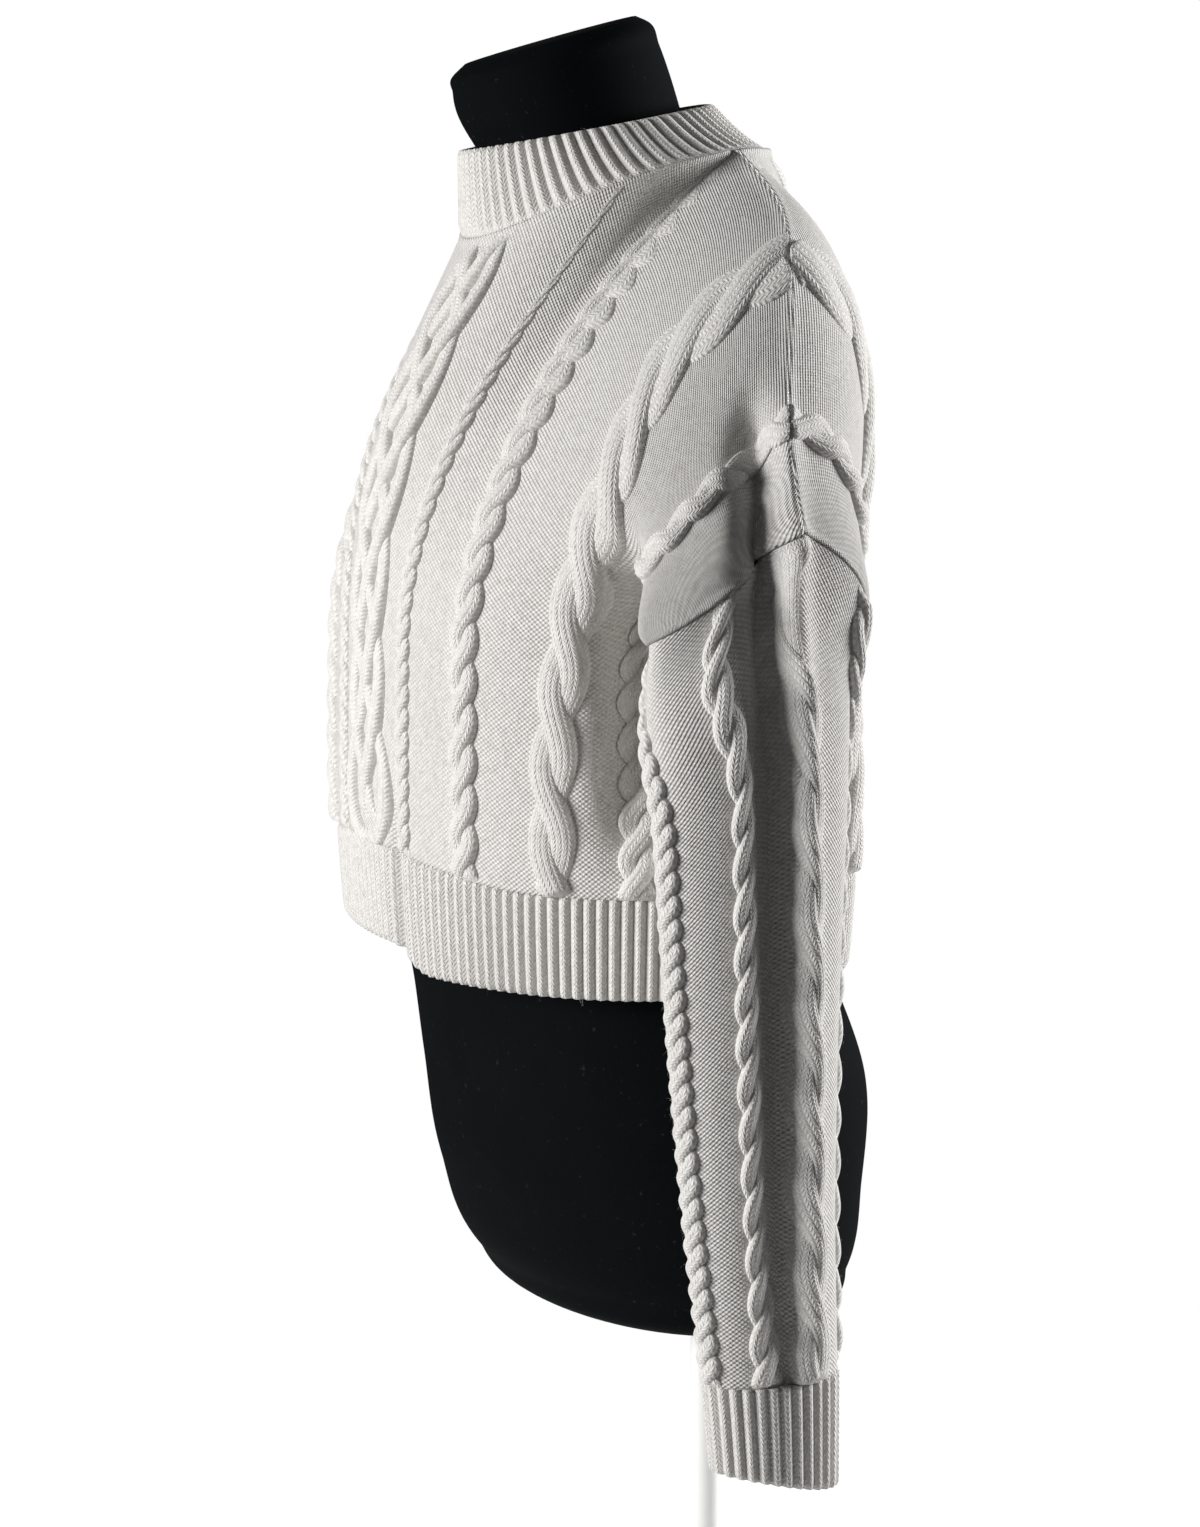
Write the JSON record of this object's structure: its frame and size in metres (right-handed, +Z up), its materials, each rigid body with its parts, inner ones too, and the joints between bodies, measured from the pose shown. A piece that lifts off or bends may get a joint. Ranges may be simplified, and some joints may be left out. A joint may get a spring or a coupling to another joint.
{
  "type": "cable knit sweater on a dress form",
  "caption": "Cropped mock-neck sweater in a cable knit with long drop-shoulder sleeves, worn by a limbless dress form that a pole and a round base hold up.",
  "frame": {"origin": "middle of the round base's underside", "axes": "+Z up, the garment's front faces -Y, the wearer's left is +X"},
  "size_m": [0.553, 0.3094, 1.0009],
  "materials": {
    "wool_knit": "soft brushed wool, pale heather grey, cables on a purl ground and ribbed edges",
    "form_jersey": "fine black stretch jersey over a smooth shell",
    "stand_paint": "satin pale grey paint"
  },
  "bodies": {
    "root": {"front_panel": "wool_knit", "back_panel": "wool_knit", "front_hem_rib": "wool_knit", "back_hem_rib": "wool_knit", "neck_band": "wool_knit", "sleeve_left": "wool_knit", "sleeve_right": "wool_knit", "cuff_left": "wool_knit", "cuff_right": "wool_knit", "dress_form": "form_jersey", "stand_pole": "stand_paint", "stand_base": "stand_paint"}
  },
  "joints": []
}
